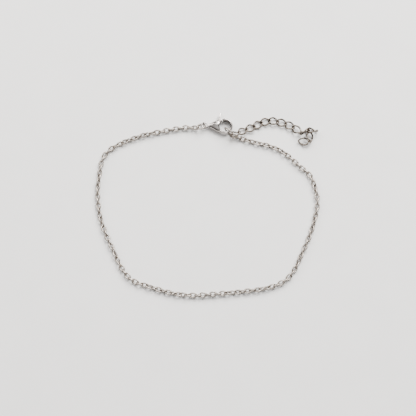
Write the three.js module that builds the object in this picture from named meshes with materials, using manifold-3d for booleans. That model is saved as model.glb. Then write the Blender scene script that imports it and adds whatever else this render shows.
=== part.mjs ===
// A rolo chain bracelet, closed by its lobster clasp and lying on a level surface as a whole loop, with
// the spare end of its extender chain lying loosely beside it.
// Millimetres and degrees, +Z up, +X to the right, +Y away from whoever looks at the clasp from the front.
// The surface is at z = 0, and the origin is on it under the middle of the whole bracelet.
import * as THREE from 'three';
import { mergeVertices } from 'three/addons/utils/BufferGeometryUtils.js';
import Module from 'manifold-3d';

const wasm = await Module();
wasm.setup();

// Rolo chain: oval links, each turned a quarter turn from the last. The turn is measured from level, and
// sways slowly along the chain, over so many links.
const chainWire = 0.3;
const chainLinkWidth = 1.6;
const chainPitch = 1.45;
const chainTurn = 45;
const chainSway = 27;
const chainSwayLinks = 17;
const solderDepth = 0.06;

// Jump rings at the two ends of the chain. A ring's plane holds the level line of its heading and is tilted
// about it. The hold is how far the ring sits in past what it hangs on, and a place on the ring is an angle
// round from its far side.
const leftRingOuter = 3.1;
const leftRingWire = 0.42;
const leftRingHeading = 18;
const leftRingTilt = 138;
const leftRingHold = 0.1;
const rightRingOuter = 3.7;
const rightRingWire = 0.42;
const rightRingHeading = -41;
const rightRingTilt = 90;
const rightRingHold = 0.27;
const rightRingCrossing = -56;
const chainOnRing = -30;
const extenderOnRing = 14;

// Lobster clasp, lying flat on its cheek. Its own x axis runs from the eye to the nose, from the middle of
// the hook's ring, and angles round the hook are measured from the nose.
const claspPlace = [5.04, 25.13];
const claspHeading = -3;
const claspHeight = 2;
const hookInner = 1.65;
const hookOuter = 2.42;
const hookHeight = 0.85;
const hookFlat = 0.42;
const hookTipAngle = 112;
const hookRootAngle = 200;
const eyeDistance = 6;
const eyeOuter = 2.14;
const eyeWire = 0.45;
const slotHeight = 1.1;

// The clasp's body from the eye to the hook: how far along it is, as a share of the way to the eye, and its
// upper and lower edges there, as shares of the hook's outer radius.
const claspOutline = [
  { along: -0.86, upper: 0.21, lower: -0.21 },
  { along: -0.7, upper: 0.31, lower: -0.32 },
  { along: -0.55, upper: 0.52, lower: -0.52 },
  { along: -0.42, upper: 0.68, lower: -0.69 },
  { along: -0.31, upper: 0.71, lower: -0.79 },
  { along: -0.22, upper: 0.45, lower: -0.85 },
];

// The clasp's lever, and the pin it turns on.
const pinBack = 2.45;
const pinRise = 0.85;
const pinRadius = 0.3;
const leverThickness = 0.9;
const leverRootRadius = 0.56;
const leverBackAngle = 110;
const gateRootAngle = 158;
const gateInset = 0.04;
const tabSpread = 14;
const tabReach = 4.05;
const tabRootWidth = 0.62;
const tabRootRise = 0.1;
const tabTipWidth = 0.38;
const tabTipSlope = 0.15;
const tabLean = 0.28;

// Extender: heavier oval links with a quarter twist between their ends, half of it either way.
const extenderWire = 0.46;
const extenderLinkWidth = 2.5;
const extenderPitch = 2.5;
const extenderTwist = -45;

// Running clearances.
const linkGap = 0.07;
const ringGap = 0.09;
const leverGap = 0.06;
const pinGap = 0.08;
const tipGap = 0.2;

// Facets.
const linkSides = 10;
const ringSides = 10;
const wireSides = 5;
const hookSides = 18;
const pinSides = 10;

// The chain's route round the loop from the left jump ring to the right one, as x, y.
const chainRoute = [
  [-6.6, 24.8], [-10.2, 24.3], [-14.8, 23.4], [-19.1, 22.5], [-23.4, 21], [-27.3, 19.2], [-30.2, 17.1],
  [-31.7, 14.4], [-32.3, 10.6], [-32.8, 6], [-32.6, 1.2], [-31.7, -3.8], [-30, -8.5], [-28, -12.8],
  [-26.1, -17], [-24, -20.4], [-21.3, -22.6], [-17.4, -23.9], [-13, -25.3], [-8.4, -26.3], [-3.8, -26.6],
  [1, -26.3], [5.8, -25.9], [10.6, -25.4], [15.3, -24.8], [19.7, -23.7], [23, -21.9], [25.4, -18.9],
  [27.5, -14.4], [29.7, -9.4], [31.5, -4], [32.5, 1.3], [31.9, 5.8], [30.4, 9.9], [27.4, 12.7],
  [24.6, 15.4], [21.6, 17.7], [18, 19.2], [13.9, 20.2], [10.6, 21.2],
];

// The extender's links in order from the right jump ring: which way each runs, how far it climbs, how it
// is rolled, and where on its oval the next link hangs, measured round from its far end.
const extenderLinks = [
  { heading: 26, climb: -16, roll: -36, exit: 0 },
  { heading: 26, climb: -11, roll: -16, exit: 0 },
  { heading: 24, climb: -6, roll: 0, exit: 0 },
  { heading: 30, climb: -3, roll: 4, exit: 0 },
  { heading: 14, climb: 1, roll: 0, exit: 0 },
  { heading: -8, climb: -2, roll: -4, exit: 0 },
  { heading: -16, climb: -1, roll: 2, exit: 0 },
  { heading: -26, climb: 0, roll: 4, exit: 0 },
  { heading: -38, climb: 12, roll: 2, exit: 0 },
  { heading: 22, climb: 10, roll: -80, exit: 15 },
  { heading: -4, climb: -4, roll: -36, exit: -125 },
  { heading: -90, climb: 4, roll: -38, exit: 0 },
  { heading: 170, climb: -2, roll: -24, exit: 0 },
];

const steel = { color: 0xb9b6b2, metalness: 1, roughness: 0.2 };
const chainFinish = new THREE.MeshStandardMaterial(steel);
const claspFinish = new THREE.MeshStandardMaterial({ ...steel, color: 0xc4c2bf, roughness: 0.14 });

const radians = THREE.MathUtils.degToRad;
const vector = (x, y, z) => new THREE.Vector3(x, y, z);
const point = (x, y) => new THREE.Vector2(x, y);
const polar = (radius, angle) => point(
  radius * Math.cos(radians(angle)),
  radius * Math.sin(radians(angle)),
);

// Turns a closed geometry into a solid, and back.
function solid(geometry) {
  const shape = geometry.clone();
  shape.deleteAttribute('normal');
  shape.deleteAttribute('uv');
  const merged = mergeVertices(shape, 1e-5);
  return new wasm.Manifold(new wasm.Mesh({
    numProp: 3,
    vertProperties: new Float32Array(merged.attributes.position.array),
    triVerts: new Uint32Array(merged.index.array),
  }));
}

function geometryOf(body) {
  const { numProp, vertProperties, triVerts } = body.getMesh();
  const geometry = new THREE.BufferGeometry();
  const points = [];
  for (let i = 0; i < vertProperties.length; i += numProp) {
    points.push(vertProperties[i], vertProperties[i + 1], vertProperties[i + 2]);
  }
  geometry.setAttribute('position', new THREE.Float32BufferAttribute(points, 3));
  geometry.setIndex(Array.from(triVerts));
  geometry.computeVertexNormals();
  return geometry;
}

const named = (name, geometry, material) => {
  const mesh = new THREE.Mesh(geometry, material);
  mesh.name = name;
  return mesh;
};

// A wire bent to an oval in the XY plane and closed on itself, long axis on X. A flat of the oval lies
// across each end, and one edge of the wire's section faces the hole, so crossed links meet edge on edge.
// The twist turns the two ends opposite ways about X.
function ovalLink({ halfLength, halfWidth, wire, sides, twist = 0 }) {
  const geometry = new THREE.TorusGeometry(1, 0.5, wireSides, sides);
  const step = (2 * Math.PI) / sides;
  const corner = (i) => point(
    (halfLength / Math.cos(step / 2)) * Math.cos((i + 0.5) * step),
    halfWidth * Math.sin((i + 0.5) * step),
  );
  const outward = (i) => {
    const side = corner(i).sub(corner(i - 1)).normalize();
    return point(side.y, -side.x);
  };
  const { position, uv } = geometry.attributes;
  for (let k = 0; k < position.count; k += 1) {
    const i = Math.round(uv.getX(k) * sides);
    const round = Math.PI + uv.getY(k) * 2 * Math.PI;
    const before = outward(i);
    const after = outward(i + 1);
    const mitre = before.clone().add(after).divideScalar(1 + before.dot(after));
    const place = corner(i).addScaledVector(mitre, (wire / 2) * Math.cos(round));
    const moved = vector(place.x, place.y, (wire / 2) * Math.sin(round));
    moved.applyAxisAngle(vector(1, 0, 0), radians(twist) * (place.x / halfLength));
    position.setXYZ(k, moved.x, moved.y, moved.z);
  }
  return geometry;
}

const roundLink = (radius, wire, sides) => ovalLink({ halfLength: radius, halfWidth: radius, wire, sides });

// The frame of a link that runs along a direction, rolled about it, with its middle at a place.
function linkFrame(middle, direction, roll) {
  const side = vector(0, 0, 1).cross(direction).normalize();
  side.applyAxisAngle(direction, radians(roll));
  const face = direction.clone().cross(side);
  return new THREE.Matrix4().makeBasis(direction, side, face).setPosition(middle);
}

const directionOf = ({ heading, climb = 0 }) => vector(
  Math.cos(radians(heading)) * Math.cos(radians(climb)),
  Math.sin(radians(heading)) * Math.cos(radians(climb)),
  Math.sin(radians(climb)),
);

// The clasp's frame, and a place in the clasp's middle plane in the bracelet's frame.
const claspMiddle = claspHeight / 2;
const claspFrame = new THREE.Matrix4()
  .makeRotationZ(radians(claspHeading))
  .setPosition(claspPlace[0], claspPlace[1], 0);
const claspPoint = (x, y) => vector(x, y, claspMiddle).applyMatrix4(claspFrame);
const pivot = [-pinBack, pinRise];

// Points along an arc about a centre, both ends included.
function arc(centre, radius, from, to, steps) {
  const points = [];
  for (let i = 0; i <= steps; i += 1) {
    points.push(polar(radius, from + ((to - from) * i) / steps).add(point(...centre)));
  }
  return points;
}

const disc = (centre, radius, sides) => arc(centre, radius, 0, 360 - 360 / sides, sides - 1);

// A flat piece of an outline in the clasp's plane, of a given thickness about the clasp's middle.
function plate(outline, thickness, holes = []) {
  const shape = new THREE.Shape(outline);
  shape.holes.push(...holes);
  const geometry = new THREE.ExtrudeGeometry(shape, { depth: thickness, bevelEnabled: false });
  return geometry.translate(0, 0, claspMiddle - thickness / 2);
}

// The hook: a ring of six-sided section, open where the gate closes it.
function hook() {
  const middle = (hookInner + hookOuter) / 2;
  const halfHeight = hookHeight / 2;
  const halfFlat = hookFlat / 2;
  const profile = [
    point(hookInner, -halfFlat),
    point(middle, -halfHeight),
    point(hookOuter, -halfFlat),
    point(hookOuter, halfFlat),
    point(middle, halfHeight),
    point(hookInner, halfFlat),
    point(hookInner, -halfFlat),
  ];
  const ring = new THREE.LatheGeometry(profile, hookSides)
    .rotateX(Math.PI / 2)
    .translate(0, 0, claspMiddle);
  const opening = [point(0, 0), ...arc([0, 0], 2 * hookOuter, hookTipAngle, hookRootAngle, 2)];
  return solid(ring).subtract(solid(plate(opening, claspHeight)));
}

// The body, bored for the hook, slotted for the lever and drilled for the pin, with the eye and the hook.
function claspBody() {
  const upper = claspOutline.map((row) => point(row.along * eyeDistance, row.upper * hookOuter));
  const lower = claspOutline.map((row) => point(row.along * eyeDistance, row.lower * hookOuter));
  const body = solid(plate([...lower, ...upper.reverse()], claspHeight));
  const bore = solid(plate(disc([0, 0], hookInner, hookSides), 2 * claspHeight));
  const slotBack = pivot[0] - leverRootRadius - leverGap;
  const slotFoot = pivot[1] - leverRootRadius - leverGap;
  const slot = solid(plate([
    point(slotBack, slotFoot),
    polar(slotFoot / Math.sin(radians(hookTipAngle)), hookTipAngle),
    polar(2 * hookOuter, hookTipAngle),
    point(slotBack, 2 * hookOuter),
  ], slotHeight));
  const pinHole = solid(plate(disc(pivot, pinRadius + pinGap, pinSides), 2 * claspHeight));
  const eye = roundLink((eyeOuter - eyeWire) / 2, eyeWire, linkSides).translate(-eyeDistance, 0, claspMiddle);
  return geometryOf(
    body.subtract(bore).add(hook()).subtract(slot).subtract(pinHole).add(solid(eye)),
  );
}

// The lever: a root on the pin, a gate that closes the hook, and a thumb tab.
function claspLever() {
  const gateTip = hookTipAngle + THREE.MathUtils.radToDeg(tipGap / hookOuter);
  const outer = hookOuter - gateInset;
  const inner = hookInner + gateInset;
  const tabFoot = polar(outer, gateTip + tabSpread);
  const outline = [
    ...arc([0, 0], outer, gateTip, gateTip + tabSpread, 2),
    point(tabFoot.x + tabLean, tabReach - tabTipSlope),
    point(tabFoot.x + tabLean - tabTipWidth, tabReach),
    point(tabFoot.x - tabRootWidth, tabFoot.y + tabRootRise),
    ...arc(pivot, leverRootRadius, leverBackAngle, 270, 3),
    ...arc([0, 0], inner, gateRootAngle, gateTip, 4),
  ];
  const hole = new THREE.Path(disc(pivot, pinRadius + pinGap, pinSides));
  return plate(outline, leverThickness, [hole]);
}

function claspPin() {
  return new THREE.CylinderGeometry(pinRadius, pinRadius, claspHeight, pinSides)
    .rotateX(Math.PI / 2)
    .translate(pivot[0], pivot[1], claspMiddle);
}

// Left jump ring, hanging in the clasp's eye and lying on the surface.
const leftRingRadius = (leftRingOuter - leftRingWire) / 2;
const leftRingDirection = directionOf({ heading: leftRingHeading });
const leftRingCentre = claspPoint(-eyeDistance, 0)
  .addScaledVector(leftRingDirection, leftRingHold - leftRingRadius)
  .setZ(leftRingRadius * Math.sin(radians(leftRingTilt)) + leftRingWire / 2);
const leftRingPlace = linkFrame(leftRingCentre, leftRingDirection, leftRingTilt);

// Right jump ring, standing on the surface with the hook's lower limb through it.
const rightRingRadius = (rightRingOuter - rightRingWire) / 2;
const rightRingDirection = directionOf({ heading: rightRingHeading });
const rightRingLift = rightRingRadius * Math.sin(radians(rightRingTilt)) + rightRingWire / 2;
const limb = polar((hookInner + hookOuter) / 2, rightRingCrossing);
const rightRingCentre = vector(
  rightRingHold,
  (rightRingLift - claspMiddle) / Math.sin(radians(rightRingTilt)),
  0,
).applyMatrix4(linkFrame(claspPoint(limb.x, limb.y), rightRingDirection, rightRingTilt));
const rightRingPlace = linkFrame(rightRingCentre, rightRingDirection, rightRingTilt);
const onRightRing = (angle) => {
  const { x, y } = polar(rightRingRadius, angle);
  return vector(x, y, 0).applyMatrix4(rightRingPlace);
};

// The chain's two ends. Each end link takes hold of a jump ring's wire, so the chain ends that much short of
// the wire's far side, on the line towards its own next point.
function holding(wirePoint, nextPoint, wire) {
  const reach = (wire + solderDepth) / 2 + ringGap;
  const away = nextPoint.clone().sub(wirePoint).normalize();
  return wirePoint.clone().addScaledVector(away, -reach);
}

const chainHalfWidth = (chainLinkWidth - chainWire) / 2;
const chainHeight = chainHalfWidth * Math.sin(radians(chainTurn + chainSway)) + chainWire / 2;
const chainPoints = chainRoute.map(([x, y]) => vector(x, y, chainHeight));
const leftRingFarSide = leftRingCentre.clone().addScaledVector(leftRingDirection, -leftRingRadius);
const chainCurve = new THREE.CatmullRomCurve3([
  holding(leftRingFarSide, chainPoints[0], leftRingWire),
  ...chainPoints,
  holding(onRightRing(chainOnRing), chainPoints[chainPoints.length - 1], rightRingWire),
], false, 'catmullrom', 0.5);
chainCurve.arcLengthDivisions = 4000;
const chainLength = chainCurve.getLength();

// An odd number of links, so that both end links are turned the same way.
const chainLinkCount = 2 * Math.round((chainLength / chainPitch - 1) / 2) + 1;

// A run of links between two places along the chain, soldered where they touch.
function chainRun(first, count, from, to) {
  const pitch = (to - from) / count;
  const link = solid(ovalLink({
    halfLength: (pitch - solderDepth + chainWire) / 2,
    halfWidth: chainHalfWidth,
    wire: chainWire,
    sides: linkSides,
  }));
  const joint = (i) => chainCurve.getPointAt(Math.min((from + i * pitch) / chainLength, 1));
  let run = null;
  for (let i = 0; i < count; i += 1) {
    const start = joint(i);
    const end = joint(i + 1);
    const sway = chainSway * Math.sin((2 * Math.PI * (first + i)) / chainSwayLinks);
    const turn = (first + i) % 2 === 0 ? -chainTurn : chainTurn;
    const direction = end.clone().sub(start).normalize();
    const middle = start.add(end).divideScalar(2);
    const placed = link.transform(linkFrame(middle, direction, turn + sway).elements);
    run = run === null ? placed : run.add(placed);
  }
  return geometryOf(run);
}

// The chain in two runs that hang together at its front, one link through the next with a gap.
function chain() {
  const leftCount = Math.ceil(chainLinkCount / 2);
  const split = (chainLength * leftCount) / chainLinkCount;
  const halfLap = (solderDepth + linkGap) / 2;
  return [
    named('chain_left', chainRun(0, leftCount, 0, split + halfLap), chainFinish),
    named(
      'chain_right',
      chainRun(leftCount, chainLinkCount - leftCount, split - halfLap, chainLength),
      chainFinish,
    ),
  ];
}

// The extender's links. Each hangs on a wire: the first on the right jump ring, the others on the last link.
// Where two wires cross they stand a gap apart, square to both, with the new link's wire inside the other's
// hole.
function extender() {
  const halfWidth = (extenderLinkWidth - extenderWire) / 2;
  const halfLength = (extenderPitch + linkGap + extenderWire) / 2;
  const xAxis = vector(1, 0, 0);
  let held = {
    middle: rightRingCentre,
    point: onRightRing(extenderOnRing),
    along: onRightRing(extenderOnRing + 90).sub(rightRingCentre),
    reach: (rightRingWire + extenderWire) / 2 + ringGap,
  };
  return extenderLinks.map((row, i) => {
    const direction = directionOf(row);
    const nearEnd = linkFrame(vector(0, 0, 0), direction, row.roll - extenderTwist);
    const apart = held.along.clone().cross(vector(0, 1, 0).applyMatrix4(nearEnd)).normalize();
    const inward = -Math.sign(apart.dot(held.point.clone().sub(held.middle)));
    const middle = held.point.clone()
      .addScaledVector(apart, inward * held.reach)
      .addScaledVector(direction, halfLength);
    const frame = linkFrame(middle, direction, row.roll);
    const across = Math.sin(radians(row.exit));
    const share = Math.cos(radians(row.exit));
    const exitTwist = radians(extenderTwist) * share;
    held = {
      middle,
      point: vector(halfLength * share, halfWidth * across, 0)
        .applyAxisAngle(xAxis, exitTwist)
        .applyMatrix4(frame),
      along: vector(-halfLength * across, halfWidth * share, 0)
        .applyAxisAngle(xAxis, exitTwist)
        .transformDirection(frame),
      reach: extenderWire + linkGap,
    };
    const link = ovalLink({
      halfLength,
      halfWidth,
      wire: extenderWire,
      sides: linkSides,
      twist: extenderTwist,
    });
    return named(`extender_link_${String(i + 1).padStart(2, '0')}`, link.applyMatrix4(frame), chainFinish);
  });
}

const bracelet = new THREE.Group();
bracelet.add(
  ...chain(),
  named(
    'jump_ring_left',
    roundLink(leftRingRadius, leftRingWire, ringSides).applyMatrix4(leftRingPlace),
    chainFinish,
  ),
  named(
    'jump_ring_right',
    roundLink(rightRingRadius, rightRingWire, ringSides).applyMatrix4(rightRingPlace),
    chainFinish,
  ),
  ...extender(),
);

const clasp = new THREE.Group();
clasp.position.set(claspPlace[0], claspPlace[1], 0);
clasp.rotation.z = radians(claspHeading);
clasp.add(
  named('clasp_body', claspBody(), claspFinish),
  named('clasp_lever', claspLever(), claspFinish),
  named('clasp_pin', claspPin(), claspFinish),
);
bracelet.add(clasp);

// The origin goes under the middle of the whole bracelet.
bracelet.updateMatrixWorld(true);
const extent = new THREE.Box3().setFromObject(bracelet, true);
const centre = extent.getCenter(vector(0, 0, 0));
bracelet.position.set(-centre.x, -centre.y, -extent.min.z);

export default bracelet;
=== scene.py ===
"""A rolo chain bracelet in polished steel, closed by its lobster clasp and lying on a pale surface.

The chain, the jump rings, the extender and the clasp are modelled in millimetres in the bracelet's own frame.
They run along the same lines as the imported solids, in rounder and fuller wire, and are then set where the
packed clasp pin says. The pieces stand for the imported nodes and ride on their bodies.
"""
import bisect
import math
import random

import bmesh
import bpy
from bpy.props import FloatProperty, FloatVectorProperty, IntProperty, PointerProperty
from mathutils import Matrix, Vector


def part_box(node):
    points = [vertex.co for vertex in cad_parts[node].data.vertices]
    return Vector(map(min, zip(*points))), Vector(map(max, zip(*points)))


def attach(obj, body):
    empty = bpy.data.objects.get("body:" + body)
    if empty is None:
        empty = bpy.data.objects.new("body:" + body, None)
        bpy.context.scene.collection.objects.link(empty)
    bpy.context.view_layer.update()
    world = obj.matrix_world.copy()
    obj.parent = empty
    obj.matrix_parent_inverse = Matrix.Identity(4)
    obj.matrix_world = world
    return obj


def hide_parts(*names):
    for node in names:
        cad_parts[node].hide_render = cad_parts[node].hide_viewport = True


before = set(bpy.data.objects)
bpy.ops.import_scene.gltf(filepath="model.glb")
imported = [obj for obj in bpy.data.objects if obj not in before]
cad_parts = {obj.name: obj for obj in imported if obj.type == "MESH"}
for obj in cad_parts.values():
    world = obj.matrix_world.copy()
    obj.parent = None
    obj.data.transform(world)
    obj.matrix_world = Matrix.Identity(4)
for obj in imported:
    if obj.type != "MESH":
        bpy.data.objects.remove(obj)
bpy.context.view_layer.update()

bl_info = {
    "name": "Rolo chain bracelet",
    "version": (1, 0, 0),
    "blender": (4, 5, 0),
    "location": "View3D > Sidebar > Bracelet",
    "description": "Models a rolo chain bracelet with a lobster clasp and an extender chain",
    "category": "Add Mesh",
}

MM = 0.001
FULL_TURN = 2 * math.pi

# The chain's route round the loop, from the left jump ring to the right one, in metres.
CHAIN_ROUTE = [
    (-0.0066, 0.0248), (-0.0102, 0.0243), (-0.0148, 0.0234), (-0.0191, 0.0225), (-0.0234, 0.021),
    (-0.0273, 0.0192), (-0.0302, 0.0171), (-0.0317, 0.0144), (-0.0323, 0.0106), (-0.0328, 0.006),
    (-0.0326, 0.0012), (-0.0317, -0.0038), (-0.03, -0.0085), (-0.028, -0.0128), (-0.0261, -0.017),
    (-0.024, -0.0204), (-0.0213, -0.0226), (-0.0174, -0.0239), (-0.013, -0.0253), (-0.0084, -0.0263),
    (-0.0038, -0.0266), (0.001, -0.0263), (0.0058, -0.0259), (0.0106, -0.0254), (0.0153, -0.0248),
    (0.0197, -0.0237), (0.023, -0.0219), (0.0254, -0.0189), (0.0275, -0.0144), (0.0297, -0.0094),
    (0.0315, -0.004), (0.0325, 0.0013), (0.0319, 0.0058), (0.0304, 0.0099), (0.0274, 0.0127),
    (0.0246, 0.0154), (0.0216, 0.0177), (0.018, 0.0192), (0.0139, 0.0202), (0.0106, 0.0212),
]

# The extender's links in order from the right jump ring, in degrees: which way each runs, how far it climbs,
# how it is rolled, and where on its oval the next link hangs.
EXTENDER_LINKS = [
    {"heading": 26, "climb": -16, "roll": -36, "exit": 0},
    {"heading": 26, "climb": -11, "roll": -16, "exit": 0},
    {"heading": 24, "climb": -5, "roll": 0, "exit": 0},
    {"heading": 30, "climb": -3, "roll": 4, "exit": 0},
    {"heading": 14, "climb": 1, "roll": 0, "exit": 0},
    {"heading": -8, "climb": -2, "roll": -4, "exit": 0},
    {"heading": -16, "climb": -1, "roll": 2, "exit": 0},
    {"heading": -26, "climb": 0, "roll": 4, "exit": 0},
    {"heading": -38, "climb": 12, "roll": 6, "exit": 0},
    {"heading": 22, "climb": 10, "roll": -76, "exit": 15},
    {"heading": -4, "climb": -4, "roll": -48, "exit": -134},
    {"heading": -84, "climb": 4, "roll": -36, "exit": 0},
    {"heading": 173, "climb": -2, "roll": -24, "exit": 0},
]

# The clasp's claw from its neck to the mouth of the hook, in millimetres from the middle of the hook's ring:
# how far along, its upper and lower edges there, and half its height.
CLAW_SECTIONS = [
    {"along": -5.2, "upper": 0.36, "lower": -0.36, "height": 0.4},
    {"along": -4.85, "upper": 0.5, "lower": -0.5, "height": 0.55},
    {"along": -4.2, "upper": 0.76, "lower": -0.78, "height": 0.74},
    {"along": -3.3, "upper": 1.25, "lower": -1.26, "height": 0.93},
    {"along": -2.55, "upper": 1.62, "lower": -1.67, "height": 1},
    {"along": -1.85, "upper": 1.72, "lower": -1.93, "height": 1},
    {"along": -1.4, "upper": 1.5, "lower": -2.06, "height": 0.96},
    {"along": -1.1, "upper": 1.18, "lower": -2.14, "height": 0.86},
]

# The hook from its root in the claw to its tip, in degrees round from the nose: its outer edge and half its
# height, in millimetres.
HOOK_SECTIONS = [
    {"angle": 218, "outer": 2.4, "height": 0.86},
    {"angle": 236, "outer": 2.44, "height": 0.82},
    {"angle": 256, "outer": 2.45, "height": 0.66},
    {"angle": 280, "outer": 2.42, "height": 0.5},
    {"angle": 310, "outer": 2.42, "height": 0.46},
    {"angle": 350, "outer": 2.42, "height": 0.62},
    {"angle": 400, "outer": 2.42, "height": 0.84},
    {"angle": 440, "outer": 2.4, "height": 0.9},
    {"angle": 464, "outer": 2.36, "height": 0.86},
    {"angle": 472, "outer": 2.3, "height": 0.72},
]

# The lever's thumb tab, in millimetres: how far each corner of its outline is from the tab's foot towards the
# nose, and how far below the tab's tip, or for the corners of its back how far above the foot.
TAB_TIP = [
    {"across": 0.2, "below": 0.45},
    {"across": 0.26, "below": 0.16},
    {"across": 0.1, "below": 0.01},
    {"across": -0.1, "below": 0.06},
    {"across": -0.22, "below": 0.4},
]
TAB_BACK = [
    {"across": -0.42, "above": 0.5},
    {"across": -0.66, "above": 0.08},
]

# The lever's turns, in degrees: from where to where its root goes round the pin, where its inner edge starts
# round from the nose, and how far its end is from the foot of the thumb tab.
LEVER_TURNS = {"root_from": 110, "root_to": 270, "heel": 158, "tab": 14}

# Room in the clasp, in millimetres: round the lever's root in its slot, round the rivet in its holes, between
# the end of the lever and the tip of the hook, from the lever's edges to the hook's, and past the claw's
# faces where its hole is cut.
ROOT_ROOM = 0.06
RIVET_ROOM = 0.03
GATE_ROOM = 0.2
GATE_INSET = 0.04
CUT_ROOM = 0.05

# The rivet from end to end: how far along it, as a share of half its length, and how wide, as a share of its
# radius.
RIVET_SECTIONS = [
    {"along": -1, "width": 0.5},
    {"along": -0.985, "width": 0.8},
    {"along": -0.95, "width": 0.98},
    {"along": -0.9, "width": 1},
    {"along": 0.9, "width": 1},
    {"along": 0.95, "width": 0.98},
    {"along": 0.985, "width": 0.8},
    {"along": 1, "width": 0.5},
]

# Where each jump ring is cut, in degrees round from the side opposite its heading.
RING_SEAMS = {"left": -105, "right": -60}

# How much the extender's wire swells where a link is soldered, as a share of its thickness.
EXTENDER_BEAD = 0.07

# The draw of the small turns that set the chain's links off their pattern.
WOBBLE_SEED = 11

# How the steel's marks show: over which stretch of their noise they come up, how much they bring of the dull
# colour and of roughness, and their share of the relief. The pits are so many times finer than the blotches.
BLOTCHES = {"from": 0.42, "to": 0.72, "tint": 0.55, "roughness": 0.16, "relief": 0.6}
SCRATCHES = {"from": 0.56, "to": 0.7, "tint": 0.16, "roughness": 0.1, "relief": 0.12}
PITS = {"finer": 4, "relief": 0.25}

# The way the scratches run: turned off the axes, and drawn out along one of them.
SCRATCH_GRAIN = {"Rotation": (0.4, 0.3, 0.9), "Scale": (1, 9, 3)}

# Painted shade on the wall of the hook's hole and just round it, darkening the metal where the hole's shade
# falls: how far it reaches out over the hook, in millimetres, how much of it shows, and how dark it is beside
# the dulled metal's colour.
PAINTED_HOOK_SHADE = {"reach": 0.42, "tint": 0.85, "shade": 0.35}

# The pale surface's mottles and fibres: how many there are to the metre, and how much of each shows. The
# mottles come up over a stretch of their noise, and the fibres have a relief in millimetres. The darkest
# parts have a share of the surface's colour.
MOTTLES = {"per_metre": 90, "tint": 0.6, "from": 0.35, "to": 0.65}
FIBRES = {"per_metre": 1500, "tint": 0.4, "relief": 0.05}
DARKEST = 0.965

# The light panels, which all face the bracelet: where each stands and how wide and deep it is, in metres, its
# power in watts, and its colour.
LIGHTS = [
    {
        "name": "window", "place": (0.24, 0.47, 0.54), "width": 0.6, "depth": 0.52,
        "power": 20.5, "rgb": (1, 0.99, 0.975),
    },
    {
        "name": "fill", "place": (-0.42, 0.36, 0.42), "width": 0.45, "depth": 0.38,
        "power": 5, "rgb": (1, 0.97, 0.95),
    },
    {
        "name": "low front", "place": (0, -0.5, 0.14), "width": 0.5, "depth": 0.16,
        "power": 0.9, "rgb": (1, 0.98, 0.97),
    },
]

# The room's own light, from the horizon up to overhead: how high, and how bright.
ROOM_LIGHT = [(0, 0.02), (0.7, 0.03), (0.92, 0.7), (1, 1.3)]


def length(name, description, millimetres):
    """A size of the bracelet that a user may change."""
    return FloatProperty(
        name=name, description=description, default=millimetres * MM, min=0.01 * MM, max=0.1,
        unit="LENGTH", precision=5,
    )


def angle(name, description, degrees):
    """An angle of the bracelet that a user may change."""
    return FloatProperty(
        name=name, description=description, default=math.radians(degrees), min=-FULL_TURN, max=FULL_TURN,
        subtype="ANGLE", unit="ROTATION",
    )


def colour(name, description, rgb):
    """A colour that a user may change."""
    return FloatVectorProperty(
        name=name, description=description, default=rgb, size=3, min=0, max=1, subtype="COLOR",
    )


def share(name, description, value):
    """A number from 0 to 1 that a user may change."""
    return FloatProperty(
        name=name, description=description, default=value, min=0, max=1, subtype="FACTOR",
    )


class ChainSizes(bpy.types.PropertyGroup):
    """Sizes of the rolo chain."""

    wire: length("Wire", "Thickness of the wire that the links are bent from", 0.44)
    width: length("Link width", "Width of a link over its wire", 1.64)
    pitch: length("Pitch", "Length that each link adds to the chain", 1.45)
    slack: length("Slack", "Room between two links where they hang on each other", 0.03)
    turn: angle("Turn", "How far each link is turned from level, one way and then the other", 45)
    sway: angle("Sway", "How far the turn sways along the chain", 36)
    sway_links: IntProperty(
        name="Links in a sway", description="Number of links in which the sway comes round",
        default=17, min=2,
    )
    bead: share("Solder bead", "How much the wire swells where a link is soldered", 0.06)
    fullness: share("Fullness", "How blunt the ends of a link are", 0.25)
    wobble: angle("Wobble", "How far a link may be turned off its neighbours' pattern", 5)


class RingSizes(bpy.types.PropertyGroup):
    """Sizes and places of the two jump rings."""

    wire: length("Wire", "Thickness of the rings' wire", 0.44)
    left_outer: length("Left ring", "Outer diameter of the left jump ring", 3.12)
    left_heading: angle("Left heading", "Which way the left ring lies", 18)
    left_tilt: angle("Left tilt", "How far the left ring is tilted about its heading", 138)
    left_hold: length("Left hold", "How far the left ring sits in past the middle of the clasp's eye", 0.1)
    right_outer: length("Right ring", "Outer diameter of the right jump ring", 3.72)
    right_heading: angle("Right heading", "Which way the right ring lies", -41)
    right_tilt: angle("Right tilt", "How far the right ring is tilted about its heading", 90)
    right_hold: length("Right hold", "How far the right ring sits past the middle of the hook's wire", 0.27)
    crossing: angle("Crossing", "Where the right ring crosses the hook, round from the nose", -56)
    chain_place: angle("Chain on ring", "Where the chain hangs on the right ring", -30)
    extender_place: angle("Extender on ring", "Where the extender hangs on the right ring", 14)
    seam: length("Seam", "Width of the cut where a ring is bent shut", 0.03)
    gap: length("Gap", "Room between a ring and the link that hangs on it", 0.11)


class ExtenderSizes(bpy.types.PropertyGroup):
    """Sizes of the extender chain."""

    wire: length("Wire", "Thickness of the extender's wire", 0.52)
    width: length("Link width", "Width of an extender link over its wire", 2.58)
    pitch: length("Pitch", "Length that each link adds to the extender", 2.5)
    gap: length("Gap", "Room between two links where they hang on each other", 0.02)
    twist: angle("Twist", "Turn of a link's far end from its middle", -45)


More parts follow.
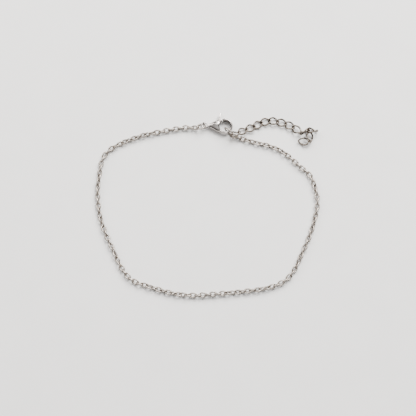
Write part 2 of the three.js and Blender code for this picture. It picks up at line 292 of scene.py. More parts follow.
class ClaspSizes(bpy.types.PropertyGroup):
    """Sizes and place of the lobster clasp."""

    place: FloatVectorProperty(
        name="Place", description="Middle of the hook's ring, before the bracelet is centred",
        default=(5.04 * MM, 25.13 * MM), size=2, unit="LENGTH", precision=5,
    )
    heading: angle("Heading", "Which way the clasp's nose points", -3)
    height: length("Height", "Height of the claw", 2)
    hook_inner: length("Hook's hole", "Radius of the hole in the hook", 1.65)
    hook_outer: length("Hook's rim", "Outer radius of the hook", 2.42)
    tip: angle("Hook's tip", "Where the hook ends, round from the nose", 112)
    eye_distance: length("Eye's distance", "From the middle of the hook to the middle of the eye", 6)
    eye_outer: length("Eye", "Outer diameter of the eye", 2.22)
    eye_wire: length("Eye's wire", "Thickness of the eye's rim", 0.49)
    slot_height: length("Slot", "Height of the slot that the lever works in", 1.1)
    pin_back: length("Pin's distance", "How far the pin is behind the middle of the hook", 2.45)
    pin_rise: length("Pin's rise", "How far the pin is to the lever's side", 0.85)
    pin_radius: length("Pin", "Radius of the pin", 0.3)
    lever_thickness: length("Lever", "Thickness of the lever", 0.9)
    lever_root: length("Lever's root", "Radius of the lever's end round the pin", 0.56)
    tab_reach: length("Thumb tab", "How far the thumb tab's tip stands from the middle of the hook", 4.05)


class SteelLook(bpy.types.PropertyGroup):
    """Colours and finish of the metal."""

    chain_colour: colour("Chain", "Colour of the polished chain", (0.35, 0.312, 0.277))
    # The extender's steel is given a darker colour than the chain's.
    extender_colour: colour("Extender", "Darker colour of the extender", (0.175, 0.15, 0.128))
    clasp_colour: colour("Clasp", "Colour of the polished clasp", (0.44, 0.41, 0.395))
    # Besides the dulled wear, this colour, darkened, gives the painted shade inside the hook's hole.
    dull_and_shade_colour: colour("Dulled metal", "Warmer colour where the metal is dulled", (0.15, 0.125, 0.105))
    chain_roughness: share("Chain's roughness", "Roughness of the chain where it is brightest", 0.28)
    extender_roughness: share("Extender's roughness", "Roughness of the extender where it is brightest", 0.25)
    clasp_roughness: share("Clasp's roughness", "Roughness of the clasp where it is brightest", 0.1)


class StudioLook(bpy.types.PropertyGroup):
    """Floor, light and camera."""

    floor_colour: colour("Floor", "Colour of the pale surface", (0.8, 0.79, 0.775))
    floor_reach: FloatProperty(
        name="Floor's reach", description="From the middle of the square surface to its edges",
        default=1, min=0.1, unit="LENGTH",
    )
    elevation: angle("Camera's elevation", "How steeply the camera looks down", 75)
    distance: FloatProperty(
        name="Camera's distance", description="From the camera to the middle of the bracelet",
        default=0.45, min=0.05, unit="LENGTH",
    )
    lens: FloatProperty(
        name="Lens", description="Focal length of the camera's lens", default=131.1, min=10, unit="CAMERA",
    )


class Reading:
    """A value in a material: the output of one of its nodes, or the node tree before it has any."""

    def __init__(self, socket):
        self.socket = socket

    def node(self, kind, settings=None, values=None, output=0):
        """Adds a node, gives it its settings and then the values or readings of its sockets."""
        tree = self.socket.id_data
        added = tree.nodes.new("ShaderNode" + kind)
        for name, value in (settings or {}).items():
            if name == "stops":
                set_stops(added.color_ramp, value)
            else:
                setattr(added, name, value)
        for name, value in (values or {}).items():
            if isinstance(value, Reading):
                tree.links.new(value.socket, added.inputs[name])
            else:
                added.inputs[name].default_value = value
        return Reading(added.outputs[output])

    def maths(self, operation, first, second):
        """A Math node on two numbers or readings."""
        return self.node("Math", {"operation": operation}, {0: first, 1: second})

    def __add__(self, other):
        return self.maths("ADD", self, other)

    def __sub__(self, other):
        return self.maths("SUBTRACT", self, other)

    def __rsub__(self, other):
        return self.maths("SUBTRACT", other, self)

    def __mul__(self, other):
        return self.maths("MULTIPLY", self, other)

    __radd__ = __add__
    __rmul__ = __mul__

    def within(self, low, high):
        """This value spread from low to high onto 0 to 1, and held there."""
        return self.node("MapRange", {"clamp": True}, {"Value": self, "From Min": low, "From Max": high})

    def mixed(self, first, second):
        """A colour from first to second, as this value goes from 0 to 1."""
        values = {"Factor": self, 6: first, 7: second}
        return self.node("Mix", {"data_type": "RGBA"}, values, 2)


def set_stops(ramp, stops):
    """Gives a colour ramp its stops, as place and grey value."""
    while len(ramp.elements) < len(stops):
        ramp.elements.new(0.5)
    for element, (place, grey) in zip(ramp.elements, stops):
        element.position = place
        element.color = (grey, grey, grey, 1)


def new_material(name):
    """An empty material, its principled shader, and a reading to start its nodes from."""
    material = bpy.data.materials.new(name)
    material.use_nodes = True
    tree = material.node_tree
    tree.nodes.clear()
    shader = tree.nodes.new("ShaderNodeBsdfPrincipled")
    output = tree.nodes.new("ShaderNodeOutputMaterial")
    tree.links.new(shader.outputs["BSDF"], output.inputs["Surface"])
    place = Reading(tree).node("TexCoord", output="Object")
    return material, shader, place


def feed(shader, **readings):
    """Links readings to the shader's sockets, each named with underscores for spaces."""
    for name, reading in readings.items():
        socket = shader.inputs[name.replace("_", " ").title()]
        shader.id_data.links.new(reading.socket, socket)


def rgba(rgb, shade=1):
    """A colour with its alpha, darkened to a share of itself."""
    return (*(shade * part for part in rgb), 1)


def noise(place, per_metre, detail):
    """Cloudy noise from 0 to 1, with so many clouds to the metre."""
    return place.node("TexNoise", {}, {"Vector": place, "Scale": per_metre, "Detail": detail}, "Fac")


def polished_steel(name, bright, dull_and_shade, roughness, blotch, scratch, relief, painted_shade_hole=None):
    """Tumbled and polished steel: soft blotches where it is dulled, fine scratches, and a faint waviness.
    The blotch, the scratch and the relief are in millimetres. The last argument gives the middle and the
    radius of a round hole, in metres, whose wall is darkened with painted shade."""
    material, shader, place = new_material(name)
    blotches = noise(place, 1 / (blotch * MM), detail=4)
    dulled = blotches.within(BLOTCHES["from"], BLOTCHES["to"])
    grain = place.node("Mapping", {}, {"Vector": place, **SCRATCH_GRAIN})
    scored = noise(grain, 1 / (scratch * MM), detail=3).within(SCRATCHES["from"], SCRATCHES["to"])
    pits = noise(place, PITS["finer"] / (blotch * MM), detail=2)
    tone = (dulled * BLOTCHES["tint"] + scored * SCRATCHES["tint"]).mixed(rgba(bright), rgba(dull_and_shade))
    # Painted shade: round the hole, the colour is mixed towards a darkened dulled colour to stand in for the
    # shade inside the hook's hole.
    if painted_shade_hole:
        middle, radius = painted_shade_hole
        level = place.node("Mapping", {}, {"Vector": place, "Scale": (1, 1, 0)})
        ends = {0: level, 1: (middle.x, middle.y, 0)}
        out = level.node("VectorMath", {"operation": "DISTANCE"}, ends, "Value")
        painted_shade = 1 - out.within(radius, radius + PAINTED_HOOK_SHADE["reach"] * MM)
        tone = (painted_shade * PAINTED_HOOK_SHADE["tint"]).mixed(tone, rgba(dull_and_shade, PAINTED_HOOK_SHADE["shade"]))
    height = blotches * BLOTCHES["relief"] + pits * PITS["relief"] - scored * SCRATCHES["relief"]
    bump = height.node("Bump", {}, {"Strength": 0.35, "Distance": relief * MM, "Height": height})
    shader.inputs["Metallic"].default_value = 1
    feed(
        shader,
        base_color=tone,
        roughness=roughness + dulled * BLOTCHES["roughness"] + scored * SCRATCHES["roughness"],
        normal=bump,
    )
    return material


def chain_steel():
    """The chain's and the rings' steel."""
    found = bpy.data.materials.get("tumbled chain steel")
    look = bpy.context.scene.bracelet_steel
    return found or polished_steel(
        "tumbled chain steel", look.chain_colour, look.dull_and_shade_colour, look.chain_roughness,
        blotch=0.9, scratch=0.16, relief=0.012,
    )


def extender_steel():
    """The extender's duller steel."""
    found = bpy.data.materials.get("darker extender steel")
    look = bpy.context.scene.bracelet_steel
    return found or polished_steel(
        "darker extender steel", look.extender_colour, look.dull_and_shade_colour, look.extender_roughness,
        blotch=1.2, scratch=0.2, relief=0.012,
    )


def clasp_steel():
    """The clasp's brighter steel, with painted shade inside the hook."""
    found = bpy.data.materials.get("polished clasp steel with painted hook shade")
    look = bpy.context.scene.bracelet_steel
    hook_middle = packed_origin() + clasp_frame().translation * MM
    hook_inner = bpy.context.scene.bracelet_clasp.hook_inner
    return found or polished_steel(
        "polished clasp steel with painted hook shade", look.clasp_colour, look.dull_and_shade_colour, look.clasp_roughness,
        blotch=1.8, scratch=0.3, relief=0.02, painted_shade_hole=(hook_middle, hook_inner),
    )


def pale_surface():
    """A matt pale surface with the faintest mottling."""
    pale = bpy.context.scene.bracelet_studio.floor_colour
    material, shader, place = new_material("matt pale surface")
    mottles = noise(place, MOTTLES["per_metre"], detail=5).within(MOTTLES["from"], MOTTLES["to"])
    fibres = noise(place, FIBRES["per_metre"], detail=3)
    tone = (mottles * MOTTLES["tint"] + fibres * FIBRES["tint"]).mixed(rgba(pale, DARKEST), rgba(pale))
    bump = fibres.node("Bump", {}, {"Strength": 0.12, "Distance": FIBRES["relief"] * MM, "Height": fibres})
    shader.inputs["Roughness"].default_value = 0.9
    shader.inputs["Specular IOR Level"].default_value = 0.2
    feed(shader, base_color=tone, normal=bump)
    return material


def polar(radius, turn):
    """The place in the XY plane at a radius and a turn from X."""
    return Vector((radius * math.cos(turn), radius * math.sin(turn), 0))


def towards(heading, climb=0.0):
    """The direction of a heading that climbs."""
    level = polar(math.cos(climb), heading)
    return Vector((level.x, level.y, math.sin(climb)))


def link_frame(middle, direction, roll):
    """The frame of a link that runs along a direction, rolled about it, with its middle at a place."""
    side = Vector((0, 0, 1)).cross(direction).normalized()
    side.rotate(Matrix.Rotation(roll, 3, direction))
    face = direction.cross(side)
    turned = Matrix((direction, side, face)).transposed().to_4x4()
    return Matrix.Translation(middle) @ turned


def curve_points(rows, steps):
    """Points along a smooth curve through rows of numbers, so many to each stretch."""
    ends = [2 * rows[0] - rows[1], *rows, 2 * rows[-1] - rows[-2]]
    points = []
    for before, start, end, after in zip(ends, ends[1:], ends[2:], ends[3:]):
        leave = (end - before) * 0.5
        arrive = (after - start) * 0.5
        for k in range(steps):
            t = k / steps
            bend = 2 * start - 2 * end + leave + arrive
            pull = 3 * end - 3 * start - 2 * leave - arrive
            points.append(start + leave * t + pull * t ** 2 + bend * t ** 3)
    points.append(rows[-1])
    return points


def smooth_rows(table, steps):
    """A table of sections with more rows between its own."""
    names = list(table[0])
    rows = [Vector([row[name] for name in names]) for row in table]
    return [dict(zip(names, row)) for row in curve_points(rows, steps)]


class Route:
    """A curve that can be walked by length."""

    def __init__(self, rows):
        self.points = curve_points(rows, steps=100)
        self.marks = [0.0]
        for start, end in zip(self.points, self.points[1:]):
            self.marks.append(self.marks[-1] + (end - start).length)
        self.length = self.marks[-1]

    def at(self, distance):
        """The place so far along the curve."""
        past = min(bisect.bisect_right(self.marks, distance), len(self.marks) - 1)
        low, high = self.marks[past - 1], self.marks[past]
        return self.points[past - 1].lerp(self.points[past], (distance - low) / (high - low))


def wire_oval(half_length, half_width, wire, around, sides, twist=0.0, bead=0.0, fullness=0.0):
    """A round wire bent to an oval in the XY plane, with its ends turned opposite ways about X.
    The bead is how much the wire swells where it is soldered, in the middle of one long side. The fullness is
    how blunt the oval's ends are."""
    bm = bmesh.new()
    across = Matrix.Translation((half_width, 0, 0)) @ Matrix.Rotation(math.pi / 2, 4, "X")
    bmesh.ops.create_circle(bm, segments=sides, radius=wire / 2, matrix=across)
    bmesh.ops.spin(
        bm, geom=bm.verts[:] + bm.edges[:], cent=(0, 0, 0), axis=(0, 0, 1), angle=FULL_TURN, steps=around,
        use_merge=True,
    )
    for vert in bm.verts:
        turn = math.atan2(vert.co.y, vert.co.x)
        swell = 1 + bead if abs(turn + math.pi / 2) < math.pi / around else 1
        out = (math.hypot(vert.co.x, vert.co.y) - half_width) * swell
        along, aside = math.cos(turn), math.sin(turn)
        middle = Vector((half_length * along * (1 + fullness * aside ** 2), half_width * aside, 0))
        # Square to the oval there: how fast its middle line moves aside, and how fast it moves back along.
        back = half_length * aside * (1 + fullness * (1 - 3 * along ** 2))
        outward = Vector((half_width * along, back, 0)).normalized()
        bent = middle + outward * out + Vector((0, 0, vert.co.z * swell))
        vert.co = Matrix.Rotation(twist * bent.x / half_length, 3, "X") @ bent
    return bm


def round_ring(radius, wire, around, sides, seam):
    """A round wire bent to a ring about Z, cut where it crosses -X, with the cut's two faces closed."""
    bm = bmesh.new()
    opening = seam / radius
    across = Matrix.Rotation(math.pi + opening / 2, 4, "Z") @ Matrix.Translation((radius, 0, 0))
    across = across @ Matrix.Rotation(math.pi / 2, 4, "X")
    bmesh.ops.create_circle(bm, segments=sides, radius=wire / 2, matrix=across)
    bmesh.ops.spin(
        bm, geom=bm.verts[:] + bm.edges[:], cent=(0, 0, 0), axis=(0, 0, 1), angle=FULL_TURN - opening,
        steps=around, use_merge=False,
    )
    rims = [edge for edge in bm.edges if edge.is_boundary]
    bmesh.ops.holes_fill(bm, edges=rims, sides=sides)
    return bm


def loft(places, sides, squareness=2.0):
    """A closed solid drawn from place to place. Each place is a matrix for a round section of radius 1 in its
    XY plane. A squareness over 2 fills out the section's corners."""
    bm = bmesh.new()
    bmesh.ops.create_circle(bm, segments=sides, radius=1)
    for vert in bm.verts:
        for axis in (0, 1):
            part = vert.co[axis]
            vert.co[axis] = math.copysign(abs(part) ** (2 / squareness), part)
    bm.transform(places[0])
    edges = bm.edges[:]
    for before, after in zip(places, places[1:]):
        drawn = bmesh.ops.extrude_edge_only(bm, edges=edges)["geom"]
        edges = [item for item in drawn if isinstance(item, bmesh.types.BMEdge)]
        verts = [item for item in drawn if isinstance(item, bmesh.types.BMVert)]
        bmesh.ops.transform(bm, matrix=after @ before.inverted(), verts=verts)
    rims = [edge for edge in bm.edges if edge.is_boundary]
    bmesh.ops.holes_fill(bm, edges=rims, sides=sides)
    return bm


def prism(outline, thickness):
    """A flat plate of an outline in the XY plane, its middle at z = 0."""
    bm = bmesh.new()
    corners = [bm.verts.new((spot.x, spot.y, -thickness / 2)) for spot in outline]
    face = bm.faces.new(corners)
    raised = bmesh.ops.extrude_face_region(bm, geom=[face])["geom"]
    verts = [item for item in raised if isinstance(item, bmesh.types.BMVert)]
    bmesh.ops.translate(bm, vec=(0, 0, thickness), verts=verts)
    bmesh.ops.recalc_face_normals(bm, faces=bm.faces)
    return bm


def round_edges(bm, radius, segments, least_angle):
    """Rounds the edges that turn by more than an angle."""
    sharp = [edge for edge in bm.edges if edge.calc_face_angle(0) > least_angle]
    bmesh.ops.bevel(
        bm, geom=sharp, offset=radius, offset_type="OFFSET", segments=segments, profile=0.5,
        affect="EDGES", clamp_overlap=True, material=-1,
    )


def spool(radius, flare, half_height, sides, centre=(0, 0), steps=8):
    """A round cutter along Z that opens out towards both its ends, in so many steps to each."""
    middle = Matrix.Translation((centre[0], centre[1], 0))
    places = []
    for k in range(-steps, steps + 1):
        rise = k / steps
        wide = radius + flare * abs(rise) ** 4
        scale = Matrix.Diagonal((wide, wide, 1, 1))
        places.append(middle @ Matrix.Translation((0, 0, rise * half_height)) @ scale)
    return loft(places, sides)


def as_object(name, bm):
    """A bmesh as an object of the scene. The bmesh is used up."""
    bmesh.ops.recalc_face_normals(bm, faces=bm.faces)
    mesh = bpy.data.meshes.new(name)
    bm.to_mesh(mesh)
    bm.free()
    made = bpy.data.objects.new(name, mesh)
    bpy.context.scene.collection.objects.link(made)
    return made


def combined(base, *steps):
    """A bmesh joined with others or cut by them, each step an operation and a bmesh."""
    body = as_object("shape", base)
    tools = []
    for operation, bm in steps:
        tool = as_object("tool", bm)
        cut = body.modifiers.new(operation, "BOOLEAN")
        cut.operation = operation
        cut.object = tool
        cut.solver = "EXACT"
        tools.append(tool)
    view = bpy.context.evaluated_depsgraph_get()
    result = bmesh.new()
    result.from_object(body, view)
    for made in (body, *tools):
        mesh = made.data
        bpy.data.objects.remove(made)
        bpy.data.meshes.remove(mesh)
    if not result.faces:
        raise RuntimeError("the clasp's shapes didn't combine")
    return result


def set_piece(name, bm, material, body, nodes, sharp_angle=None):
    """Makes a piece of the bracelet from a bmesh in millimetres in the bracelet's frame: set in place, in
    metres, with its material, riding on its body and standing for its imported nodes."""
    bm.transform(Matrix.Translation(packed_origin()) @ Matrix.Scale(MM, 4))
    piece = as_object(name, bm)
    mesh = piece.data
    mesh.polygons.foreach_set("use_smooth", [True] * len(mesh.polygons))
    if sharp_angle:
        mesh.set_sharp_from_angle(angle=sharp_angle)
    mesh.materials.append(material)
    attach(piece, body)
    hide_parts(*nodes)
    return piece


def clasp_frame():
    """The clasp's own frame, with its middle plane at z = 0, in millimetres."""
    sizes = bpy.context.scene.bracelet_clasp
    x, y = sizes.place
    middle = Matrix.Translation((x / MM, y / MM, sizes.height / MM / 2))
    return middle @ Matrix.Rotation(sizes.heading, 4, "Z")


def pin_place():
    """The middle of the lever's pin in the clasp's frame, in millimetres."""
    sizes = bpy.context.scene.bracelet_clasp
    return Vector((-sizes.pin_back / MM, sizes.pin_rise / MM, 0))


def packed_origin():
    """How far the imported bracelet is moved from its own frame, in metres, as its clasp pin shows."""
    low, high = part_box("clasp_pin")
    return (low + high) / 2 - clasp_frame() @ pin_place() * MM


def left_ring():
    """The left jump ring: its radius and its frame, in millimetres. It hangs in the eye and lies down."""
    sizes = bpy.context.scene.bracelet_rings
    eye = clasp_frame() @ Vector((-bpy.context.scene.bracelet_clasp.eye_distance / MM, 0, 0))
    radius = (sizes.left_outer - sizes.wire) / MM / 2
    along = towards(sizes.left_heading)
    middle = eye + along * (sizes.left_hold / MM - radius)
    middle.z = radius * math.sin(sizes.left_tilt) + sizes.wire / MM / 2
    return radius, link_frame(middle, along, sizes.left_tilt)


def right_ring():
    """The right jump ring: its radius and its frame, in millimetres. The hook's limb passes through it."""
    sizes = bpy.context.scene.bracelet_rings
    clasp = bpy.context.scene.bracelet_clasp
    radius = (sizes.right_outer - sizes.wire) / MM / 2
    lift = radius * math.sin(sizes.right_tilt) + sizes.wire / MM / 2
    limb = clasp_frame() @ polar((clasp.hook_inner + clasp.hook_outer) / MM / 2, sizes.crossing)
    along = towards(sizes.right_heading)
    rise = (lift - limb.z) / math.sin(sizes.right_tilt)
    middle = link_frame(limb, along, sizes.right_tilt) @ Vector((sizes.right_hold / MM, rise, 0))
    return radius, link_frame(middle, along, sizes.right_tilt)


def chain_route():
    """The line of the chain from ring to ring, in millimetres."""
    sizes = bpy.context.scene.bracelet_chain
    rings = bpy.context.scene.bracelet_rings
    half_width = (sizes.width - sizes.wire) / MM / 2
    height = half_width * math.sin(sizes.turn + sizes.sway) + (1 + sizes.bead) * sizes.wire / MM / 2
    points = [Vector((x / MM, y / MM, height)) for x, y in CHAIN_ROUTE]
    left_radius, left_place = left_ring()
    right_radius, right_place = right_ring()
    left_wire = left_place @ Vector((-left_radius, 0, 0))
    right_wire = right_place @ polar(right_radius, rings.chain_place)
    reach = (rings.wire / 2 + rings.gap) / MM
    start = left_wire - (points[0] - left_wire).normalized() * reach
    end = right_wire - (points[-1] - right_wire).normalized() * reach
    return Route([start, *points, end])


def chain_links():
    """The frame of each rolo link in order, in millimetres."""
    sizes = bpy.context.scene.bracelet_chain
    route = chain_route()
    # An odd count, so that the two end links are turned the same way.
    count = 2 * round((route.length / (sizes.pitch / MM) - 1) / 2) + 1
    joints = [route.at(route.length * i / count) for i in range(count + 1)]
    chance = random.Random(WOBBLE_SEED)
    frames = []
    for i, (start, end) in enumerate(zip(joints, joints[1:])):
        turn = sizes.turn if i % 2 else -sizes.turn
        sway = sizes.sway * math.sin(FULL_TURN * i / sizes.sway_links)
        wobble = sizes.wobble * chance.uniform(-1, 1)
        steepest = sizes.turn + sizes.sway
        roll = max(-steepest, min(steepest, turn + sway + wobble))
        frames.append(link_frame((start + end) / 2, (end - start).normalized(), roll))
    return frames, route.length / count


def extender_oval():
    """The oval of an extender link's wire: half its length and half its width, to the wire's middle, and the
    wire's thickness, in millimetres."""
    sizes = bpy.context.scene.bracelet_extender
    wire, gap, pitch = sizes.wire / MM, sizes.gap / MM, sizes.pitch / MM
    return (pitch + gap + wire) / 2, (sizes.width / MM - wire) / 2, wire


def extender_frames():
    """The frame of each extender link in order, in millimetres. The near end of each lies across the wire
    that it hangs on, inside that wire's bend."""
    sizes = bpy.context.scene.bracelet_extender
    rings = bpy.context.scene.bracelet_rings
    half_length, half_width, wire = extender_oval()
    gap = sizes.gap / MM
    radius, ring_place = right_ring()
    held_middle = ring_place.translation
    held_point = ring_place @ polar(radius, rings.extender_place)
    held_along = ring_place @ polar(radius, rings.extender_place + math.pi / 2) - held_middle
    reach = (rings.wire + sizes.wire) / MM / 2 + gap
    frames = []
    for row in EXTENDER_LINKS:
        heading, climb, roll, leave = (math.radians(row[name]) for name in row)
        direction = towards(heading, climb)
        near_end = link_frame(Vector(), direction, roll - sizes.twist)
        apart = held_along.cross(near_end @ Vector((0, 1, 0))).normalized()
        inward = -math.copysign(1, apart.dot(held_point - held_middle))
        middle = held_point + apart * inward * reach + direction * half_length
        place = link_frame(middle, direction, roll)
        frames.append(place)
        along, aside = math.cos(leave), math.sin(leave)
        turned = place @ Matrix.Rotation(sizes.twist * along, 4, "X")
        held_middle = middle
        held_point = turned @ Vector((half_length * along, half_width * aside, 0))
        held_along = turned.to_3x3() @ Vector((-half_length * aside, half_width * along, 0))
        reach = wire + gap
    return frames


class BRACELET_OT_chain(bpy.types.Operator):
    """Links the rolo chain round its loop, in two runs"""

    bl_idname = "bracelet.chain"
    bl_label = "Rolo chain"

    def execute(self, context):
        sizes = context.scene.bracelet_chain
        frames, pitch = chain_links()
        wire = sizes.wire / MM
        link = wire_oval(
            half_length=(pitch + wire + sizes.slack / MM) / 2, half_width=(sizes.width / MM - wire) / 2,
            wire=wire, around=24, sides=10, bead=sizes.bead, fullness=sizes.fullness,
        )
        pattern = bpy.data.meshes.new("rolo link")
        link.to_mesh(pattern)
        link.free()
        half = math.ceil(len(frames) / 2)
        for name, run in (("left", frames[:half]), ("right", frames[half:])):
            bm = bmesh.new()
            for place in run:
                first = len(bm.verts)
                bm.from_mesh(pattern)
                bm.verts.ensure_lookup_table()
                bmesh.ops.transform(bm, matrix=place, verts=bm.verts[first:])
            set_piece(f"rolo_chain_{name}", bm, chain_steel(), "bracelet", [f"chain_{name}"])
        bpy.data.meshes.remove(pattern)
        return {"FINISHED"}


class BRACELET_OT_jump_rings(bpy.types.Operator):
    """Bends the two jump rings that the chain ends in"""

    bl_idname = "bracelet.jump_rings"
    bl_label = "Jump rings"

    def execute(self, context):
        sizes = context.scene.bracelet_rings
        for name, (radius, place) in (("left", left_ring()), ("right", right_ring())):
            bm = round_ring(radius, sizes.wire / MM, around=72, sides=16, seam=sizes.seam / MM)
            bm.transform(place @ Matrix.Rotation(math.radians(RING_SEAMS[name]), 4, "Z"))
            set_piece(
                f"bent_ring_{name}", bm, chain_steel(), "bracelet", [f"jump_ring_{name}"],
                sharp_angle=math.radians(50),
            )
        return {"FINISHED"}


class BRACELET_OT_extender(bpy.types.Operator):
    """Links the extender chain that lies beside the clasp"""

    bl_idname = "bracelet.extender"
    bl_label = "Extender chain"

    def execute(self, context):
        twist = context.scene.bracelet_extender.twist
        half_length, half_width, wire = extender_oval()
        for number, place in enumerate(extender_frames(), 1):
            bm = wire_oval(
                half_length, half_width, wire, around=48, sides=16, twist=twist, bead=EXTENDER_BEAD,
            )
            bm.transform(place)
            set_piece(
                f"curb_link_{number:02}", bm, extender_steel(), "bracelet",
                [f"extender_link_{number:02}"],
            )
        return {"FINISHED"}


def claw_places():
    """Places of the claw's sections, from its neck to the mouth of the hook."""
    upright = Matrix.Rotation(math.pi / 2, 4, "Z") @ Matrix.Rotation(math.pi / 2, 4, "X")
    places = []
    for row in smooth_rows(CLAW_SECTIONS, 4):
        middle = Vector((row["along"], (row["upper"] + row["lower"]) / 2, 0))
        half_width = (row["upper"] - row["lower"]) / 2
        scale = Matrix.Diagonal((half_width, row["height"], 1, 1))
        places.append(Matrix.Translation(middle) @ upright @ scale)
    return places


def hook_places(inner):
    """Places of the hook's sections, from its root in the claw to its tip."""
    upright = Matrix.Rotation(math.pi / 2, 4, "X")
    places = []
    for row in smooth_rows(HOOK_SECTIONS, 6):
        middle = (inner + row["outer"]) / 2
        scale = Matrix.Diagonal((row["outer"] - middle, row["height"], 1, 1))
        turn = Matrix.Rotation(math.radians(row["angle"]), 4, "Z")
        places.append(turn @ Matrix.Translation((middle, 0, 0)) @ upright @ scale)
    return places


def arc(centre, radius, start, end, steps):
    """Points along an arc about a centre, both ends included."""
    return [Vector(centre) + polar(radius, start + (end - start) * i / steps) for i in range(steps + 1)]


class BRACELET_OT_claw(bpy.types.Operator):
    """Casts the clasp's claw with its hook and eye, slots it for the lever, and rivets the lever's pin"""

    bl_idname = "bracelet.claw"
    bl_label = "Clasp claw"

    def execute(self, context):
        sizes = context.scene.bracelet_clasp
        inner, outer, height = sizes.hook_inner / MM, sizes.hook_outer / MM, sizes.height / MM
        pin = pin_place()
        root = sizes.lever_root / MM
        foot = pin.y - root - ROOT_ROOM
        back = pin.x - root - ROOT_ROOM
        slot = prism(
            [
                Vector((back, foot, 0)),
                polar(foot / math.sin(sizes.tip), sizes.tip),
                polar(2 * outer, sizes.tip),
                Vector((back, 2 * outer, 0)),
            ],
            sizes.slot_height / MM,
        )
        eye_radius = (sizes.eye_outer - sizes.eye_wire) / MM / 2
        eye = wire_oval(eye_radius, eye_radius, sizes.eye_wire / MM, around=40, sides=16)
        bmesh.ops.translate(eye, vec=(-sizes.eye_distance / MM, 0, 0), verts=eye.verts)
        radius = sizes.pin_radius / MM
        bm = combined(
            loft(claw_places(), sides=40, squareness=2.8),
            ("DIFFERENCE", spool(inner, flare=0.3, half_height=height / 2 + CUT_ROOM, sides=96)),
            ("UNION", loft(hook_places(inner), sides=28, squareness=2.3)),
            ("DIFFERENCE", slot),
            ("DIFFERENCE", spool(radius + RIVET_ROOM, flare=0.05, half_height=height, sides=28, centre=pin)),
            ("UNION", eye),
        )
        bm.transform(clasp_frame())
        set_piece(
            "lobster_claw", bm, clasp_steel(), "bracelet", ["clasp_body"],
            sharp_angle=math.radians(38),
        )

        places = []
        for row in RIVET_SECTIONS:
            scale = Matrix.Diagonal((radius * row["width"], radius * row["width"], 1, 1))
            places.append(Matrix.Translation((pin.x, pin.y, row["along"] * height / 2)) @ scale)
        rivet = loft(places, sides=28)
        rivet.transform(clasp_frame())
        set_piece(
            "lever_rivet", rivet, clasp_steel(), "bracelet", ["clasp_pin"],
            sharp_angle=math.radians(60),
        )
        return {"FINISHED"}


class BRACELET_OT_lever(bpy.types.Operator):
    """Shapes the clasp's lever: its root on the pin, the gate that closes the hook, and the thumb tab"""

    bl_idname = "bracelet.lever"
    bl_label = "Clasp lever"

    def execute(self, context):
        sizes = context.scene.bracelet_clasp
        pin = pin_place()
        turns = {name: math.radians(degrees) for name, degrees in LEVER_TURNS.items()}
        inner, outer = sizes.hook_inner / MM + GATE_INSET, sizes.hook_outer / MM - GATE_INSET
        end = sizes.tip + GATE_ROOM * MM / sizes.hook_outer
        foot = polar(outer, end + turns["tab"])
        reach = sizes.tab_reach / MM
        outline = [
            *arc((0, 0, 0), outer, end, end + turns["tab"], steps=4),
            *(Vector((foot.x + row["across"], reach - row["below"], 0)) for row in TAB_TIP),
            *(Vector((foot.x + row["across"], foot.y + row["above"], 0)) for row in TAB_BACK),
            *arc(pin, sizes.lever_root / MM, turns["root_from"], turns["root_to"], steps=14),
            *arc((0, 0, 0), inner, turns["heel"], end, steps=14),
        ]
        blank = prism(outline, sizes.lever_thickness / MM)
        round_edges(blank, radius=0.13, segments=4, least_angle=math.radians(60))
        hole = spool(sizes.pin_radius / MM + RIVET_ROOM, flare=0.02, half_height=0.6, sides=28, centre=pin)
        bm = combined(blank, ("DIFFERENCE", hole))
        bm.transform(clasp_frame())
        set_piece(
            "thumb_lever", bm, clasp_steel(), "lever", ["clasp_lever"],
            sharp_angle=math.radians(45),
        )
        return {"FINISHED"}


def area_light(name, place, width, depth, power, rgb):
    """A soft light panel that faces the middle of the bracelet."""
    light = bpy.data.lights.new(name, "AREA")
    light.shape = "RECTANGLE"
    light.size = width
    light.size_y = depth
    light.energy = power
    light.color = rgb
    lamp = bpy.data.objects.new(name, light)
    lamp.location = place
    lamp.rotation_euler = (Vector() - Vector(place)).to_track_quat("-Z", "Y").to_euler()
    bpy.context.scene.collection.objects.link(lamp)


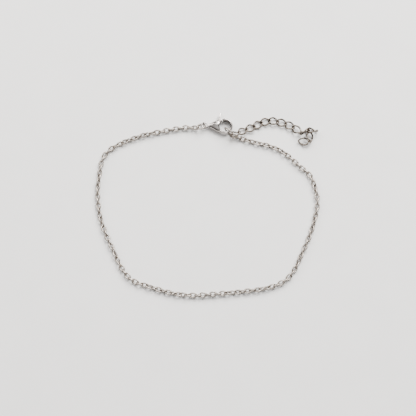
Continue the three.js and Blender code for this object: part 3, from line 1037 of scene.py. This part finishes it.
class BRACELET_OT_stage(bpy.types.Operator):
    """Lays the pale surface, and sets up the soft light and the camera"""

    bl_idname = "bracelet.stage"
    bl_label = "Surface, light and camera"

    def execute(self, context):
        scene = context.scene
        look = scene.bracelet_studio
        bm = bmesh.new()
        bmesh.ops.create_grid(bm, x_segments=1, y_segments=1, size=look.floor_reach)
        floor = as_object("pale_surface", bm)
        floor.data.materials.append(pale_surface())

        for row in LIGHTS:
            area_light(**row)

        world = bpy.data.worlds.new("soft room")
        world.use_nodes = True
        tree = world.node_tree
        tree.nodes.clear()
        sky = Reading(tree).node("TexCoord", output="Generated")
        rise = sky.node("SeparateXYZ", {}, {"Vector": sky}, "Z")
        grey = rise.node("ValToRGB", {"stops": ROOM_LIGHT}, {"Fac": rise})
        background = tree.nodes.new("ShaderNodeBackground")
        tree.links.new(grey.socket, background.inputs["Color"])
        output = tree.nodes.new("ShaderNodeOutputWorld")
        tree.links.new(background.outputs["Background"], output.inputs["Surface"])
        scene.world = world

        camera = bpy.data.cameras.new("camera")
        camera.lens = look.lens
        camera.sensor_width = 36
        camera.clip_start = 0.01
        camera.clip_end = 10
        viewer = bpy.data.objects.new("camera", camera)
        target = packed_origin()
        back = Vector((0, -math.cos(look.elevation), math.sin(look.elevation)))
        viewer.location = target + back * look.distance
        viewer.rotation_euler = (-back).to_track_quat("-Z", "Y").to_euler()
        scene.collection.objects.link(viewer)
        scene.camera = viewer
        return {"FINISHED"}


OPERATORS = (
    BRACELET_OT_chain,
    BRACELET_OT_jump_rings,
    BRACELET_OT_extender,
    BRACELET_OT_claw,
    BRACELET_OT_lever,
    BRACELET_OT_stage,
)
SETTINGS = {
    "bracelet_chain": ChainSizes,
    "bracelet_rings": RingSizes,
    "bracelet_extender": ExtenderSizes,
    "bracelet_clasp": ClaspSizes,
    "bracelet_steel": SteelLook,
    "bracelet_studio": StudioLook,
}


class BRACELET_PT_panel(bpy.types.Panel):
    """The bracelet's pieces and sizes"""

    bl_idname = "BRACELET_PT_panel"
    bl_label = "Rolo chain bracelet"
    bl_space_type = "VIEW_3D"
    bl_region_type = "UI"
    bl_category = "Bracelet"

    def draw(self, context):
        for operator in OPERATORS:
            self.layout.operator(operator.bl_idname)
        for group in SETTINGS:
            settings = getattr(context.scene, group)
            box = self.layout.box()
            for name in settings.__annotations__:
                box.prop(settings, name)


def register():
    """Makes the operators, the panel and the settings known to Blender."""
    for group, kind in SETTINGS.items():
        bpy.utils.register_class(kind)
        setattr(bpy.types.Scene, group, PointerProperty(type=kind))
    for kind in (*OPERATORS, BRACELET_PT_panel):
        bpy.utils.register_class(kind)


def unregister():
    """Takes the operators, the panel and the settings out of Blender again."""
    for kind in (BRACELET_PT_panel, *OPERATORS):
        bpy.utils.unregister_class(kind)
    for group, kind in SETTINGS.items():
        delattr(bpy.types.Scene, group)
        bpy.utils.unregister_class(kind)


def main():
    """Builds the bracelet and its stage."""
    register()
    bpy.ops.bracelet.chain()
    bpy.ops.bracelet.jump_rings()
    bpy.ops.bracelet.extender()
    bpy.ops.bracelet.claw()
    bpy.ops.bracelet.lever()
    bpy.ops.bracelet.stage()


if __name__ == "__main__":
    main()
